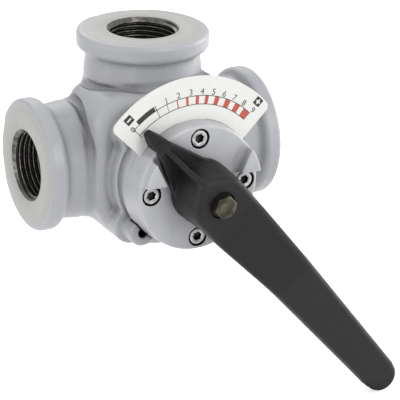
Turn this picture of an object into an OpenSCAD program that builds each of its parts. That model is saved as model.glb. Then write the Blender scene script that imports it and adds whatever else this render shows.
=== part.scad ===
// Three-port rotary mixing valve with a hand lever and a scale plate.
// The axes of the three ports meet at the origin: +X runs to the right port, +Z to the
// top port and -Y out of the cover towards the lever. All sizes are in millimetres.
// "Depth" below is the distance out of the origin towards the lever, along -Y.

/* [Ports] */
// Distance from the valve's centre to the face of each side port
side_reach = 60.5; // [56:0.5:75]
// Distance from the valve's centre to the face of the top port
top_reach = 60; // [56:0.5:75]
// Radius of the port thread at its crests (Rp 1)
thread_r = 15.15; // [13.5:0.05:18.5]
// Length of the port thread
thread_length = 20; // [14:0.5:24]
// Width of the chamfer at the mouth of the thread
mouth_chamfer = 2.1; // [0.5:0.1:3]
// Radius of the water passage behind the thread
passage_r = 13; // [10.5:0.1:15.8]
// Wall of the neck over the thread's crests
neck_wall = 12.2; // [8:0.1:15]
// How far the bead stands out from the neck
bead_height = 4.1; // [2:0.1:6]
// Length of the bead at its full radius
bead_length = 5.8; // [4:0.1:9]

/* [Chamber] */
// Radius of the machined chamber that the segment turns in
chamber_r = 20; // [18:0.1:25]
// Radial depth of the cored water space around the seats
core_depth = 12; // [8:0.5:15]
// Half length of the chamber along the spindle
chamber_half = 21; // [20:0.5:26]
// Thickness of the body's back wall
back_wall = 9; // [8:0.5:14]
// Wall of the tube that carries each seat
seat_wall = 4; // [3:0.1:5]
// Depth of the joint face between body and cover
joint_depth = 43.5; // [40:0.5:56]
// Radius of the flange's four rounded corners
corner_r = 7.8; // [6:0.1:9]
// Radius of the boss that stands beside the cover
boss_r = 6.5; // [5:0.1:8]
// Radius of the blind hole in the boss
boss_hole_r = 2.3; // [1.5:0.1:3.2]

/* [Cover] */
// Thickness of the cover over the joint face
cover_thickness = 16.1; // [15:0.1:20]
// Metal from the chamber's bore to the screws' axes
screw_land = 4.1; // [3.6:0.1:7]
// Metal from the screws' axes to the cover's edge
cover_margin = 7.3; // [6.5:0.1:10]
// Loss of the cover's radius from its joint face to its front
cover_draft = 1; // [0.2:0.1:2]
// Nominal radius of the cover screws (M5)
screw_r = 2.5; // [2:0.1:3]
// Height of the two stops over the cover's front
stop_height = 6; // [4:0.5:7]
// Height of each stop's lower edge over the spindle's axis
stop_base = 5.8; // [4:0.1:9]

/* [Scale plate] */
// Thickness of the scale plate
plate_thickness = 1; // [0.8:0.1:1.5]
// Distance from the cover's front back to the plate's front
plate_setback = 8; // [7:0.1:9]
// Radial width of the visible plate
plate_width = 20.4; // [14:0.1:26]
// Overhang of the plate beyond each end mark of the scale
plate_overhang = 6.6; // [4:0.1:9]

/* [Spindle] */
// Radius of the spindle
spindle_r = 7; // [5.5:0.1:8.5]
// Radial running clearance of the spindle and the segment
running_gap = 0.06; // [0.02:0.01:0.1]
// Thickness of the segment's sealing wall
segment_wall = 3.6; // [2.5:0.1:4.5]

/* [Lever] */
// Angle of the pointer at rest, from +X towards +Z
pointer_angle = 130; // [45:0.1:135]
// Distance from the spindle's axis to the handle's end
handle_length = 134; // [90:0.5:170]
// Distance that the handle is cranked away from the body
handle_crank = 15; // [0:0.5:25]
// Further rise of the handle from the crank to its end
handle_rise = 2.5; // [0:0.5:8]
// Half width of the handle near its end
handle_end_half = 8.1; // [6:0.1:10]
// Half width of the handle at the end of the crank
handle_mid_half = 11.2; // [8:0.1:13.5]
// Half width of the handle at the hub
handle_root_half = 13.9; // [11:0.1:14.2]
// Depth of the handle's side walls
handle_depth = 9.5; // [6:0.5:12]
// Wall thickness of the lever moulding
lever_wall = 2.6; // [2:0.1:3.2]
// Radius of the hub's skirt
hub_r = 15.9; // [15:0.1:18]
// Height of the hub from its skirt to its front
hub_height = 21.5; // [18:0.5:26]
// Nominal radius of the lever bolt (M6)
bolt_r = 3; // [2.5:0.1:3.5]

/* [Hidden] */
$fn = 96;
small_fn = 36;
eps = 0.5;

// Clearances
seat_gap = 0.05;
free_gap = 0.3;

// Ports
neck_r = thread_r + neck_wall;
neck_root_r = neck_r + 2;
bead_r = neck_r + bead_height;
bead_edge = 1.4;
seat_tube_r = passage_r + seat_wall;

// Screw circle, cover, flange and boss follow the chamber
screw_circle_r = chamber_r + screw_land;
cover_r = screw_circle_r + cover_margin;
cover_front_r = cover_r - cover_draft;
front_depth = joint_depth + cover_thickness;
edge_cut = 1.2;
pad_r = cover_r - 1.6;
flange_r = cover_r + 0.5;
flange_depth = joint_depth - 5.5;
flange_land = 0.4;
corner_circle_r = cover_r - 0.4;
boss_circle_r = cover_r + 0.8;
lug_r = boss_r + 3;
lug_depth = flange_depth + 0.3;
boss_front = joint_depth + 5;
boss_hole_depth = 12;
boss_place = 225;
barrel_r = cover_r + 9.1;
barrel_front = 31;
shoulder_round = 7;
barrel_round = 24;
web_r = 16.4;
web_circle_r = barrel_r - 9.5;
web_back = -10;
web_front = barrel_front - 4;
corner_start = barrel_front - 19;
core_r = min(chamber_r + core_depth, barrel_r - 7);
core_front = barrel_front - 13;
seat_tube_reach = core_r + 2;
back_depth = -chamber_half - back_wall;

// Cover screws: socket head cap screws in counterbores
screw_head_r = 1.7 * screw_r;
screw_head_h = 2 * screw_r;
counterbore_r = screw_head_r + 0.45;
counterbore_depth = screw_head_h + 0.4;
screw_seat = front_depth - counterbore_depth;
screw_length = 20;
tapped_depth = screw_length - (screw_seat - joint_depth) + 2;
clear_r = screw_r + 0.25;
socket_af = 1.6 * screw_r;

// Spindle seal stack, from the inside out
spigot_depth = joint_depth - 7.5;
spigot_r = chamber_r - seat_gap;
ring_section_r = 1.2;
cover_ring_r = spigot_r - ring_section_r + 0.02;
cover_groove_floor = cover_ring_r - ring_section_r - 0.02;
cover_groove_half = 1.5;
cover_groove_depth = (spigot_depth + joint_depth) / 2;
seal_section_r = 1.2;
seal_pocket_r = spindle_r + 2 * seal_section_r + 2 * running_gap;
seal_floor = joint_depth - 2.5;
seal_ring_r = (seal_pocket_r + spindle_r) / 2;
inner_seal_depth = seal_floor + seal_section_r + seat_gap;
spacer_start = seal_floor + 2 * seal_section_r + 2 * seat_gap;
spacer_length = 2;
outer_seal_depth = spacer_start + spacer_length + seat_gap + seal_section_r;
bush_start = outer_seal_depth + seal_section_r + seat_gap;

// Spindle steps
rear_journal_r = spindle_r - 2;
rear_bush_r = rear_journal_r + 2.4;
rear_bush_length = 7;
rear_bush_end = -chamber_half - rear_bush_length;
rear_journal_end = rear_bush_end + 0.6;
rear_step = -chamber_half + 0.8;
washer_thickness = 1.5;
washer_r = spindle_r + 4;
collar_r = spindle_r + 3;
collar_length = 2.6;
washer_end = spigot_depth - 0.1;
collar_end = washer_end - washer_thickness - seat_gap;
clip_start = front_depth + 0.4;
clip_thickness = 1;
clip_floor = spindle_r - 0.7;
clip_r = spindle_r + 1.9;
clip_mouth = 50;
square_start = clip_start + clip_thickness + 1.2;
square_side = 1.36 * spindle_r;

// Segment
segment_r = chamber_r - running_gap;
segment_half_angle = asin(passage_r / chamber_r) + 4.5;
segment_half_height = passage_r + 3.5;
arm_thickness = 3;
segment_hub_r = spindle_r + 4;
segment_hub_bore = spindle_r + seat_gap;
segment_hub_length = 6.5;
segment_lead = 45;
pin_r = 1.5;
pin_depth = segment_half_height - arm_thickness + segment_hub_length - 2.6;

// Scale plate: it slides into a slot in the cover and the top screw pins it
plate_front = front_depth - plate_setback;
plate_back = plate_front - plate_thickness;
slot_gap = 0.1;
plate_inner_r = cover_r - cover_draft * (plate_back - joint_depth) / cover_thickness + 2 * seat_gap;
plate_outer_r = plate_inner_r + plate_width;
plate_corner_r = 3.2;
tongue_half = 7;
tongue_end = screw_circle_r - 6;
tongue_lap = 3;
scale_end = 45;

// Lever, in its own frame: u along the handle, v across it, depth along the spindle
handle_angle = pointer_angle - 180;
hub_start = front_depth + 1.6;
hub_front = hub_start + hub_height;
wing_top = hub_start + 3.4;
hub_waist_r = hub_r - 0.7;
hub_front_r = hub_r - 1.6;
beak_start = cover_r + 0.3;
tip_reach = beak_start + 6.7;
tip_half = 1.6;
tip_taper = 19;
beak_floor = plate_front + 1.5;
tip_top = beak_floor + 3.9;
web_half = 1.1;
recess_r = 2.13 * bolt_r;
recess_floor = hub_front - 3.5;
crank_start = 13.4;
crank_end = 47.4;
crank_front = hub_front + handle_crank;
end_front = crank_front + handle_rise;
handle_round_u = handle_length - handle_end_half;
skirt_wall = 2.4;
hub_boss_r = 0.75 * square_side + 3;
skirt_hollow_end = recess_floor - lever_wall - 2;
lever_floor = 2.4;
spindle_end = recess_floor - lever_floor;

// Stop walls lie along the pointer's flank at both ends of the scale
flank_reach = tip_half * cos(tip_taper) + tip_reach * sin(tip_taper);
stop_reach = flank_reach + free_gap;
stop_rim_r = cover_front_r - 0.4;

// Lever bolt and its washers
bolt_af = 10 / 3 * bolt_r;
bolt_head_h = 4 / 3 * bolt_r;
bolt_length = 16;
flat_washer_r = 2 * bolt_r;
flat_washer_h = 1.6;
spring_washer_r = 1.9 * bolt_r;
spring_washer_h = 1.6;
spring_washer_slit = 1.2;
bolt_seat = recess_floor + flat_washer_h + spring_washer_h;
bolt_bore_r = bolt_r + seat_gap;
washer_gap = 0.1;

// Colours
grey_paint = [0.70, 0.71, 0.73];
white_paint = [0.95, 0.95, 0.93];
black_plastic = [0.12, 0.12, 0.12];
steel = [0.72, 0.72, 0.70];
dull_steel = [0.42, 0.42, 0.38];
brass = [0.78, 0.62, 0.32];
bronze = [0.66, 0.48, 0.28];
rubber = [0.08, 0.08, 0.08];

// Turns a shape drawn in plan (x, z) and built upwards so that it is built towards the lever
module outward() {
    rotate([90, 0, 0]) children();
}

// Drives a shape that is drawn for a spindle turned to the pointer's angle
module with_pointer() {
    outward() rotate([0, 0, pointer_angle]) children();
}

// Plain cylinder between two depths
module drum(r, from, to) {
    translate([0, 0, from]) cylinder(r = r, h = to - from);
}

// Plain ring between two depths
module ring(outer, inner, from, to) {
    difference() {
        drum(outer, from, to);
        drum(inner, from - eps, to + eps);
    }
}

// Round section ring around the spindle's axis
module seal_ring(r, section, depth) {
    translate([0, 0, depth]) rotate_extrude() translate([r, 0]) circle(r = section, $fn = 32);
}

// Puts a child at each of the three ports, along its axis
module at_ports() {
    rotate([0, 90, 0]) children(0);
    rotate([0, -90, 0]) children(0);
    children(1);
}

// Outside of one port: neck and bead
module port_outside(reach) {
    rotate_extrude() polygon([
        [0, 0],
        [neck_root_r, 0],
        [neck_r, reach - bead_length - bead_height],
        [bead_r, reach - bead_length],
        [bead_r, reach - bead_edge],
        [bead_r - bead_edge, reach],
        [0, reach]
    ]);
}

// Water passage, thread and mouth chamfer of one port
module port_inside(reach) {
    rotate_extrude() polygon([
        [0, 0],
        [passage_r, 0],
        [passage_r, reach - thread_length - (thread_r - passage_r)],
        [thread_r, reach - thread_length],
        [thread_r, reach - mouth_chamfer],
        [thread_r + mouth_chamfer + eps, reach + eps],
        [0, reach + eps]
    ]);
}

// Outside of the body around the spindle's axis, from its back to the joint face
module barrel() {
    rotate_extrude() polygon(concat(
        [[0, back_depth]],
        [for (a = [-90 : 15 : 0])
            [barrel_r - barrel_round + barrel_round * cos(a),
             back_depth + barrel_round + barrel_round * sin(a)]],
        [for (a = [0 : 22.5 : 90])
            [barrel_r - shoulder_round + shoulder_round * cos(a),
             barrel_front - shoulder_round + shoulder_round * sin(a)]],
        [[flange_r, barrel_front],
         [flange_r, flange_depth - flange_land - edge_cut],
         [flange_r - edge_cut, flange_depth - flange_land],
         [pad_r, flange_depth - flange_land],
         [pad_r, joint_depth],
         [0, joint_depth]]
    ));
}

// Fuller corners of the barrel, between the top port and each side port
module port_webs() {
    for (a = [45, 135])
        rotate([0, 0, a]) translate([web_circle_r, 0, 0]) drum(web_r, web_back, web_front, $fn = small_fn);
}

// The four corners that make the flange behind the cover nearly square, a little proud of its rim
module flange_corners() {
    for (a = [45 : 90 : 315])
        rotate([0, 0, a]) translate([corner_circle_r, 0, 0])
            drum(corner_r, corner_start, flange_depth, $fn = small_fn);
}

// Boss on its wider lug at the lower left corner, hollowed on its inner side by the cover's edge
module side_boss() {
    difference() {
        rotate([0, 0, boss_place]) translate([boss_circle_r, 0, 0]) {
            drum(lug_r, corner_start, lug_depth, $fn = small_fn);
            drum(boss_r, corner_start, boss_front, $fn = small_fn);
        }
        drum(cover_r + free_gap, joint_depth, boss_front + eps);
    }
}

module at_cover_screws() {
    for (a = [0 : 90 : 270])
        rotate([0, 0, a]) translate([screw_circle_r, 0, 0]) children();
}

module valve_body() {
    color(grey_paint) difference() {
        union() {
            difference() {
                union() {
                    at_ports() {
                        port_outside(side_reach);
                        port_outside(top_reach);
                    }
                    outward() barrel();
                    outward() port_webs();
                    outward() flange_corners();
                    outward() side_boss();
                }
                outward() drum(core_r, -chamber_half, core_front);
            }
            at_ports() {
                cylinder(r = seat_tube_r, h = seat_tube_reach);
                cylinder(r = seat_tube_r, h = seat_tube_reach);
            }
        }
        at_ports() {
            port_inside(side_reach);
            port_inside(top_reach);
        }
        outward() drum(chamber_r, -chamber_half, joint_depth + eps);
        outward() drum(rear_bush_r, rear_bush_end, 0);
        outward() at_cover_screws()
            drum(screw_r + seat_gap, joint_depth - tapped_depth, joint_depth + eps, $fn = small_fn);
        outward() rotate([0, 0, boss_place]) translate([boss_circle_r, 0, 0])
            drum(boss_hole_r, boss_front - boss_hole_depth, boss_front + eps, $fn = small_fn);
    }
}

// Outline of the right-hand stop: flank wall, rim and level lower edge
module stop_outline() {
    far = 2 * cover_r;
    difference() {
        circle(r = stop_rim_r);
        rotate([0, 0, scale_end + tip_taper]) translate([-far, -stop_reach]) square([2 * far, 2 * far]);
        translate([-far, stop_base - 2 * far]) square([2 * far, 2 * far]);
    }
}

module cover_stops() {
    for (side = [0, 1])
        mirror([side, 0, 0]) translate([0, 0, front_depth - eps])
            linear_extrude(height = stop_height + eps) stop_outline();
}

module cover_blank() {
    rotate_extrude() polygon([
        [0, spigot_depth],
        [spigot_r - 0.8, spigot_depth],
        [spigot_r, spigot_depth + 0.8],
        [spigot_r, joint_depth],
        [cover_r - edge_cut, joint_depth],
        [cover_r, joint_depth + edge_cut],
        [cover_front_r, front_depth - edge_cut],
        [cover_front_r - edge_cut, front_depth],
        [0, front_depth]
    ]);
}

module cover() {
    color(grey_paint) outward() difference() {
        union() {
            cover_blank();
            cover_stops();
        }
        drum(spindle_r + free_gap, spigot_depth - eps, front_depth + eps);
        drum(seal_pocket_r, seal_floor, front_depth + eps);
        ring(cover_r, cover_groove_floor, cover_groove_depth - cover_groove_half,
             cover_groove_depth + cover_groove_half);
        at_cover_screws() drum(clear_r, joint_depth - eps, front_depth);
        at_cover_screws() drum(counterbore_r, screw_seat, front_depth + stop_height + eps);
        translate([-tongue_half - slot_gap, tongue_end - slot_gap, plate_back - slot_gap])
            cube([2 * (tongue_half + slot_gap), cover_r, plate_thickness + 2 * slot_gap]);
    }
}

module cover_o_ring() {
    color(rubber) outward() seal_ring(cover_ring_r, ring_section_r, cover_groove_depth);
}

// Socket head cap screw at one place on the screw circle
module cover_screw(place) {
    color(steel) outward() rotate([0, 0, place]) translate([screw_circle_r, 0, 0]) difference() {
        union() {
            drum(screw_r, screw_seat - screw_length, screw_seat + eps);
            drum(screw_head_r, screw_seat, screw_seat + screw_head_h);
        }
        translate([0, 0, screw_seat + screw_head_h / 2]) rotate([0, 0, 15 - place])
            cylinder(d = socket_af / cos(30), h = screw_head_h, $fn = 6);
    }
}

module cover_screw_right() { cover_screw(0); }
module cover_screw_top() { cover_screw(90); }
module cover_screw_left() { cover_screw(180); }
module cover_screw_bottom() { cover_screw(270); }

// Corner of the plate's outline, pushed in from its outer edge and its straight side
module plate_corner() {
    inset_r = plate_outer_r - plate_corner_r;
    inset_v = plate_overhang - plate_corner_r;
    translate([sqrt(inset_r * inset_r - inset_v * inset_v), -inset_v]) circle(r = plate_corner_r);
}

// Half of the plate's outline beyond the cover, from its middle to one rounded end
module plate_half_outline() {
    inset_v = plate_overhang - plate_corner_r;
    corner_u = sqrt(pow(plate_outer_r - plate_corner_r, 2) - inset_v * inset_v);
    corner_turn = atan2(inset_v, corner_u);
    rotate([0, 0, scale_end]) difference() {
        union() {
            intersection() {
                circle(r = plate_outer_r);
                rotate([0, 0, -corner_turn]) square(2 * plate_outer_r);
                rotate([0, 0, scale_end - 90]) square(2 * plate_outer_r);
            }
            translate([0, -plate_overhang]) square([corner_u, 2 * plate_overhang]);
            plate_corner();
        }
        circle(r = plate_inner_r);
    }
}

module scale_plate() {
    color(white_paint) outward() translate([0, 0, plate_back]) difference() {
        linear_extrude(height = plate_thickness) union() {
            plate_half_outline();
            mirror([1, 0, 0]) plate_half_outline();
            translate([-tongue_half, tongue_end])
                square([2 * tongue_half, plate_inner_r + tongue_lap - tongue_end]);
        }
        translate([0, screw_circle_r, -eps]) cylinder(r = clear_r, h = plate_thickness + 2 * eps);
    }
}

module rear_bush() {
    color(bronze) outward()
        ring(rear_bush_r - seat_gap, rear_journal_r + running_gap, rear_bush_end, -chamber_half);
}

module front_bush() {
    color(bronze) outward()
        ring(seal_pocket_r - seat_gap, spindle_r + running_gap, bush_start, front_depth);
}

module spindle_o_ring_inner() {
    color(rubber) outward() seal_ring(seal_ring_r, seal_section_r, inner_seal_depth);
}

module spindle_o_ring_outer() {
    color(rubber) outward() seal_ring(seal_ring_r, seal_section_r, outer_seal_depth);
}

module seal_spacer() {
    color(bronze) outward() ring(seal_pocket_r - seat_gap, spindle_r + running_gap,
                                 spacer_start, spacer_start + spacer_length);
}

module thrust_washer() {
    color(bronze) outward()
        ring(washer_r, spindle_r + seat_gap, washer_end - washer_thickness, washer_end);
}

module spindle() {
    color(steel) with_pointer() difference() {
        union() {
            rotate_extrude() polygon([
                [0, rear_journal_end],
                [rear_journal_r, rear_journal_end],
                [rear_journal_r, rear_step],
                [spindle_r, rear_step],
                [spindle_r, collar_end - collar_length],
                [collar_r, collar_end - collar_length],
                [collar_r, collar_end],
                [spindle_r, collar_end],
                [spindle_r, clip_start],
                [clip_floor, clip_start],
                [clip_floor, clip_start + clip_thickness],
                [spindle_r, clip_start + clip_thickness],
                [spindle_r, square_start],
                [0, square_start]
            ]);
            translate([-square_side / 2, -square_side / 2, square_start - eps])
                cube([square_side, square_side, spindle_end - square_start + eps]);
        }
        drum(bolt_bore_r, bolt_seat - bolt_length - 1, spindle_end + eps);
        translate([-2 * spindle_r, 0, pin_depth]) rotate([0, 90, 0])
            cylinder(r = pin_r + seat_gap, h = 4 * spindle_r);
    }
}

// Fan-shaped outline on both sides of the segment's middle line
module fan(r, half_angle) {
    intersection() {
        circle(r = r);
        polygon([[0, 0], 2 * r * [cos(half_angle), -sin(half_angle)], [2 * r, 0],
                 2 * r * [cos(half_angle), sin(half_angle)]]);
    }
}

module segment() {
    arm_start = segment_half_height - arm_thickness;
    color(brass) with_pointer() rotate([0, 0, segment_lead]) difference() {
        union() {
            translate([0, 0, -segment_half_height]) linear_extrude(height = 2 * segment_half_height)
                difference() {
                    fan(segment_r, segment_half_angle);
                    circle(r = segment_r - segment_wall);
                }
            for (start = [-segment_half_height, arm_start])
                translate([0, 0, start]) linear_extrude(height = arm_thickness)
                    fan(segment_r - 0.5, segment_half_angle);
            drum(segment_hub_r, -segment_half_height, -arm_start);
            drum(segment_hub_r, arm_start, arm_start + segment_hub_length);
        }
        drum(segment_hub_bore, -segment_half_height - eps, arm_start + segment_hub_length + eps);
        rotate([0, 0, -segment_lead]) translate([-2 * spindle_r, 0, pin_depth]) rotate([0, 90, 0])
            cylinder(r = pin_r + seat_gap, h = 4 * spindle_r);
    }
}

module segment_pin() {
    color(steel) with_pointer() translate([0.5 - segment_hub_r, 0, pin_depth]) rotate([0, 90, 0])
        cylinder(r = pin_r, h = 2 * segment_hub_r - 1);
}

module retaining_ring() {
    color(steel) with_pointer() difference() {
        ring(clip_r, clip_floor + seat_gap, clip_start, clip_start + clip_thickness);
        translate([0, 0, clip_start - eps]) linear_extrude(height = clip_thickness + 2 * eps)
            fan(2 * clip_r, clip_mouth);
    }
}

// Plan of the handle, tapered in two steps to a round end
module handle_plan(inset) {
    polygon([
        [0, -handle_root_half + inset],
        [crank_start, -handle_root_half + inset],
        [crank_end, -handle_mid_half + inset],
        [handle_round_u, -handle_end_half + inset],
        [handle_round_u, handle_end_half - inset],
        [crank_end, handle_mid_half - inset],
        [crank_start, handle_root_half - inset],
        [0, handle_root_half - inset]
    ]);
    translate([handle_round_u, 0]) circle(r = handle_end_half - inset);
}

// Extrudes a side view (u, depth) across the lever
module across(half) {
    rotate([90, 0, 0]) translate([0, 0, -half]) linear_extrude(height = 2 * half) children();
}

module handle_outside() {
    intersection() {
        translate([0, 0, hub_start])
            linear_extrude(height = end_front - hub_start + eps) handle_plan(0);
        across(hub_r) polygon([
            [0, hub_front],
            [crank_start, hub_front],
            [crank_end, crank_front],
            [handle_length + eps, end_front],
            [handle_length + eps, end_front - handle_depth],
            [crank_end, crank_front - handle_depth],
            [crank_start, hub_front - handle_depth],
            [0, hub_front - handle_depth]
        ]);
    }
}

// Hollow of the handle, open towards the body
module handle_inside() {
    start = hub_r + lever_wall / 2;
    slope = handle_crank / (crank_end - crank_start);
    start_front = hub_front + slope * (start - crank_start) - lever_wall;
    intersection() {
        translate([0, 0, hub_start])
            linear_extrude(height = end_front - hub_start) handle_plan(lever_wall);
        across(hub_r) polygon([
            [start, start_front],
            [crank_end, crank_front - lever_wall],
            [handle_length + eps, end_front - lever_wall],
            [handle_length + eps, end_front - handle_depth - eps],
            [crank_end, crank_front - handle_depth - eps],
            [start, hub_front - 2 * handle_depth]
        ]);
    }
}

// Plan of the pointer: straight flanks from the blunt tip to the hub
module pointer_plan() {
    root_half = tip_half + (tip_reach - hub_waist_r / 2) * tan(tip_taper);
    polygon([
        [-tip_reach, -tip_half],
        [-hub_waist_r / 2, -root_half],
        [-hub_waist_r / 2, root_half],
        [-tip_reach, tip_half]
    ]);
}

// Low wings and the beak that reaches down in front of the scale
module pointer_wings() {
    intersection() {
        translate([0, 0, beak_floor - eps])
            linear_extrude(height = hub_height + 2 * plate_setback) pointer_plan();
        across(2 * hub_r) polygon([
            [-tip_reach - eps, tip_top],
            [-tip_reach - eps, beak_floor],
            [-beak_start, beak_floor],
            [-beak_start, hub_start],
            [0, hub_start],
            [0, wing_top],
            [-beak_start + 2, wing_top]
        ]);
    }
}

// Upright web from the pointer's tip to the front of the hub
module pointer_web() {
    across(web_half) polygon([
        [-tip_reach + 1, tip_top - 2],
        [-tip_reach + 1, tip_top],
        [-hub_front_r + 0.6, hub_front - 0.6],
        [0, hub_front - 0.6],
        [0, hub_start + 1],
        [-beak_start, hub_start + 1]
    ]);
}

module lever_hub() {
    drum(hub_r, hub_start, wing_top);
    translate([0, 0, wing_top - eps])
        cylinder(r1 = hub_waist_r, r2 = hub_front_r, h = hub_front - wing_top + eps);
}

module lever() {
    color(black_plastic) outward() rotate([0, 0, handle_angle]) difference() {
        union() {
            lever_hub();
            handle_outside();
            pointer_wings();
            pointer_web();
        }
        handle_inside();
        ring(hub_waist_r - skirt_wall, hub_boss_r, hub_start - eps, skirt_hollow_end);
        drum(clip_r + 1, hub_start - eps, square_start);
        translate([-square_side / 2 - seat_gap, -square_side / 2 - seat_gap, hub_start - eps])
            cube([square_side + 2 * seat_gap, square_side + 2 * seat_gap,
                  spindle_end + seat_gap + eps - hub_start]);
        drum(bolt_bore_r, hub_start, recess_floor + eps);
        drum(recess_r, recess_floor, hub_front + eps);
    }
}

module lever_washer() {
    color(dull_steel) outward()
        ring(flat_washer_r, bolt_bore_r + washer_gap, recess_floor, recess_floor + flat_washer_h);
}

module lever_spring_washer() {
    color(dull_steel) outward() difference() {
        ring(spring_washer_r, bolt_bore_r + washer_gap, recess_floor + flat_washer_h, bolt_seat);
        translate([0, -spring_washer_slit / 2, recess_floor])
            cube([2 * spring_washer_r, spring_washer_slit, bolt_head_h]);
    }
}

module lever_bolt() {
    color(dull_steel) with_pointer() union() {
        drum(bolt_r, bolt_seat - bolt_length, bolt_seat + eps);
        translate([0, 0, bolt_seat]) intersection() {
            cylinder(d = bolt_af / cos(30), h = bolt_head_h, $fn = 6);
            cylinder(r1 = bolt_af / 2 + 2 * bolt_head_h, r2 = bolt_af / 2 - 0.1, h = bolt_head_h);
        }
    }
}

valve_body();
cover();
cover_o_ring();
cover_screw_right();
cover_screw_top();
cover_screw_left();
cover_screw_bottom();
scale_plate();
rear_bush();
front_bush();
spindle_o_ring_inner();
spindle_o_ring_outer();
seal_spacer();
thrust_washer();
spindle();
segment();
segment_pin();
retaining_ring();
lever();
lever_washer();
lever_spring_washer();
lever_bolt();
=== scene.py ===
"""Three-port rotary mixing valve with a hand lever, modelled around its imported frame.

Lengths in the classes below are millimetres in the frame's axes: +X is the right port, +Z the top
port, and the lever looks along -Y. "Depth" is the distance from the port axes towards the lever.
"""
import logging
import math
from dataclasses import dataclass
from enum import Enum
from typing import Callable, Sequence

import bpy
import numpy as np
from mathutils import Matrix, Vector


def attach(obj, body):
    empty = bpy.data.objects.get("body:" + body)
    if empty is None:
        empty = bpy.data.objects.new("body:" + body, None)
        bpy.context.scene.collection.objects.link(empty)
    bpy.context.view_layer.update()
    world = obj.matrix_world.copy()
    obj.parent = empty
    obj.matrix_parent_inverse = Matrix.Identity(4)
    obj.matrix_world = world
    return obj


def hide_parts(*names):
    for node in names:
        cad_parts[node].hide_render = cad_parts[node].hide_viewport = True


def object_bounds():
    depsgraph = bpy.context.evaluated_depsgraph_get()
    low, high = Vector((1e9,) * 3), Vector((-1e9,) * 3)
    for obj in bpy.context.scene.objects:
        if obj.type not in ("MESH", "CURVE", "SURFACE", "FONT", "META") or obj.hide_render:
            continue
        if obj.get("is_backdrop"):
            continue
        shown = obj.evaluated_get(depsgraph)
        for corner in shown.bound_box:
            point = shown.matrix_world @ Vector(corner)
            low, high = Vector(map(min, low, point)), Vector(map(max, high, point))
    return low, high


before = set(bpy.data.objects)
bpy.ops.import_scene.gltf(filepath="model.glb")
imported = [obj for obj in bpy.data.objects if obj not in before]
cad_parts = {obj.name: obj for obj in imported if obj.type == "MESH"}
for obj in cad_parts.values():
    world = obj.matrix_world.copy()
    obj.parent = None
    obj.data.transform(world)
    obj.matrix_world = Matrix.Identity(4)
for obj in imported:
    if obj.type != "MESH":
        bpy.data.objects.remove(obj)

import openvdb
from mathutils import Matrix, Vector

logging.basicConfig(level=logging.INFO, format="%(message)s")
log = logging.getLogger("valve")

MM = 0.001
# Reach of the ambient occlusion that paints shade into hollows
PAINTED_SHADE_REACH = 0.014  # metres that a hollow's shade looks across
WHITE = (1.0, 1.0, 1.0, 1.0)
Array = np.ndarray
Triple = tuple[float, float, float]
Distance = Callable[[Array, Array, Array], Array]


# ---------------------------------------------------------------- distances


def blend_union(a: Array, b: Array, radius: float) -> Array:
    """Joins two shapes with a concave fillet.

    Args:
        a: Distance to the first shape.
        b: Distance to the second shape.
        radius: Fillet radius.

    Returns:
        Distance to the joined shape.
    """
    near = np.maximum(radius, np.minimum(a, b))
    return near - np.hypot(np.maximum(radius - a, 0.0), np.maximum(radius - b, 0.0))


def blend_meet(a: Array, b: Array, radius: float) -> Array:
    """Keeps what two shapes share and rounds the edge between them."""
    return -blend_union(-a, -b, radius)


def blend_cut(a: Array, b: Array, radius: float) -> Array:
    """Takes the second shape out of the first and rounds the edge."""
    return blend_meet(a, -b, radius)


def slab(value: Array, low: float, high: float) -> Array:
    """Distance to the space between two values of a coordinate."""
    return np.maximum(low - value, value - high)


def cut(solid: Array, *cutters: Array) -> Array:
    """Takes shapes out of a solid with sharp edges."""
    for cutter in cutters:
        solid = np.maximum(solid, -cutter)
    return solid


def four_axes(x: Array, z: Array, radius: float) -> Array:
    """Distance to the nearest of four axes at a radius: right, top, left and bottom."""
    return np.minimum(np.hypot(np.abs(x) - radius, z), np.hypot(x, np.abs(z) - radius))


@dataclass(frozen=True)
class Casting:
    """A rounded solid given by its distance, meshed on a regular grid.

    Attributes:
        low: Lowest corner of the grid.
        high: Highest corner of the grid.
        pitch: Grid spacing.
        distance: Distance to the solid, negative inside.
    """

    low: Triple
    high: Triple
    pitch: float
    distance: Distance

    def slope(self, p: Array) -> tuple[Array, Array]:
        """Distance and its gradient at points.

        Args:
            p: Points, one to a row.

        Returns:
            The distances and the gradients.
        """
        step = 0.1 * self.pitch
        parts = []
        for axis in range(3):
            shift = np.zeros(3)
            shift[axis] = step
            ahead, behind = p + shift, p - shift
            parts.append(self.distance(*ahead.T) - self.distance(*behind.T))
        return self.distance(*p.T), np.stack(parts, axis=1) / (2.0 * step)

    def surface(self) -> tuple[Array, Array, Array]:
        """Meshes the solid and settles its points on the true surface.

        Returns:
            Points, quads and unit normals.
        """
        margin = 3.0 * self.pitch
        axes = [np.arange(a - margin, b + margin, self.pitch) for a, b in zip(self.low, self.high)]
        field = self.distance(*np.meshgrid(*axes, indexing="ij", sparse=True))
        grid = openvdb.FloatGrid(background=margin)
        grid.copyFromArray(np.clip(field, -margin, margin).astype(np.float32))
        points, quads = grid.convertToQuads(isovalue=0.0)
        points = points.astype(float) * self.pitch + np.array([axis[0] for axis in axes])
        for _ in range(3):
            value, rise = self.slope(points)
            size = np.maximum(np.linalg.norm(rise, axis=1), 0.3)
            move = np.clip(value / size, -0.4 * self.pitch, 0.4 * self.pitch)
            points -= rise * (move / size)[:, None]
        _, rise = self.slope(points)
        normals = rise / np.maximum(np.linalg.norm(rise, axis=1), 1e-9)[:, None]
        a, b, c = (points[quads[:, k]] for k in range(3))
        facing = np.einsum("ij,ij->i", np.cross(b - a, c - a), normals[quads[:, 0]])
        if facing.sum() < 0.0:
            quads = quads[:, ::-1]
        return points, quads, normals


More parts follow.
